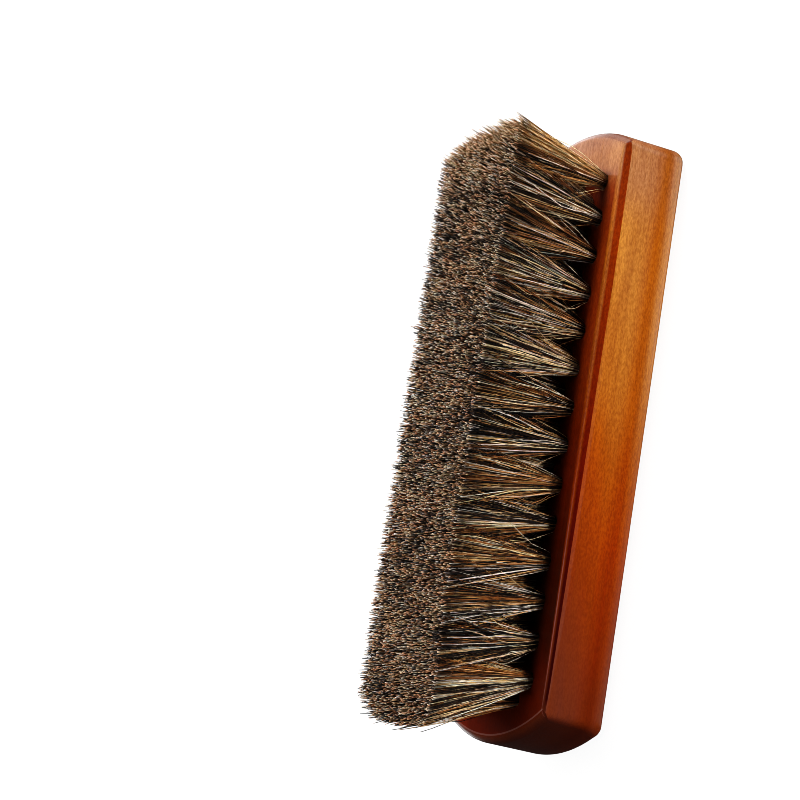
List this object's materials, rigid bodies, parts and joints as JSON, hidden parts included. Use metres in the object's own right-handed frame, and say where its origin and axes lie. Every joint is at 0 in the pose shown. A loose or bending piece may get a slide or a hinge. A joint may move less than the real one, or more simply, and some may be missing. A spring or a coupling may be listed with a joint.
{
  "type": "shoe shine brush",
  "caption": "Block shoe shine brush: lacquered hardwood block with bowed ends and rounded back, set with staggered rows of horsehair tufts for polishing leather.",
  "frame": {"origin": "centre of the block's flat back, which lies in z = 0", "axes": "+X along the block, +Y across it, +Z out of the bristle face towards the hair tips"},
  "size_m": [0.1682, 0.05, 0.0515],
  "materials": {
    "lacquered_wood": "red-brown stain under glossy clear lacquer",
    "horsehair": "mixed dark brown, brown, tan and grey horsehair, cut tips",
    "anchor_wire": "drawn flat wire, sheared ends"
  },
  "bodies": {
    "root": {"wood_block": "lacquered_wood", "horsehair_tufts_rank_01": "horsehair", "horsehair_tufts_rank_02": "horsehair", "horsehair_tufts_rank_03": "horsehair", "horsehair_tufts_rank_04": "horsehair", "horsehair_tufts_rank_05": "horsehair", "horsehair_tufts_rank_06": "horsehair", "horsehair_tufts_rank_07": "horsehair", "horsehair_tufts_rank_08": "horsehair", "horsehair_tufts_rank_09": "horsehair", "horsehair_tufts_rank_10": "horsehair", "horsehair_tufts_rank_11": "horsehair", "horsehair_tufts_rank_12": "horsehair", "horsehair_tufts_rank_13": "horsehair", "horsehair_tufts_rank_14": "horsehair", "horsehair_tufts_rank_15": "horsehair", "horsehair_tufts_rank_16": "horsehair", "horsehair_tufts_rank_17": "horsehair", "horsehair_tufts_rank_18": "horsehair", "horsehair_tufts_rank_19": "horsehair", "horsehair_tufts_rank_20": "horsehair", "horsehair_tufts_rank_21": "horsehair", "horsehair_tufts_rank_22": "horsehair", "horsehair_tufts_rank_23": "horsehair", "horsehair_tufts_rank_24": "horsehair", "horsehair_tufts_rank_25": "horsehair", "horsehair_tufts_rank_26": "horsehair", "horsehair_tufts_rank_27": "horsehair", "horsehair_tufts_rank_28": "horsehair", "anchor_wires_rank_01": "anchor_wire", "anchor_wires_rank_02": "anchor_wire", "anchor_wires_rank_03": "anchor_wire", "anchor_wires_rank_04": "anchor_wire", "anchor_wires_rank_05": "anchor_wire", "anchor_wires_rank_06": "anchor_wire", "anchor_wires_rank_07": "anchor_wire", "anchor_wires_rank_08": "anchor_wire", "anchor_wires_rank_09": "anchor_wire", "anchor_wires_rank_10": "anchor_wire", "anchor_wires_rank_11": "anchor_wire", "anchor_wires_rank_12": "anchor_wire", "anchor_wires_rank_13": "anchor_wire", "anchor_wires_rank_14": "anchor_wire", "anchor_wires_rank_15": "anchor_wire", "anchor_wires_rank_16": "anchor_wire", "anchor_wires_rank_17": "anchor_wire", "anchor_wires_rank_18": "anchor_wire", "anchor_wires_rank_19": "anchor_wire", "anchor_wires_rank_20": "anchor_wire", "anchor_wires_rank_21": "anchor_wire", "anchor_wires_rank_22": "anchor_wire", "anchor_wires_rank_23": "anchor_wire", "anchor_wires_rank_24": "anchor_wire", "anchor_wires_rank_25": "anchor_wire", "anchor_wires_rank_26": "anchor_wire", "anchor_wires_rank_27": "anchor_wire", "anchor_wires_rank_28": "anchor_wire"}
  },
  "joints": []
}
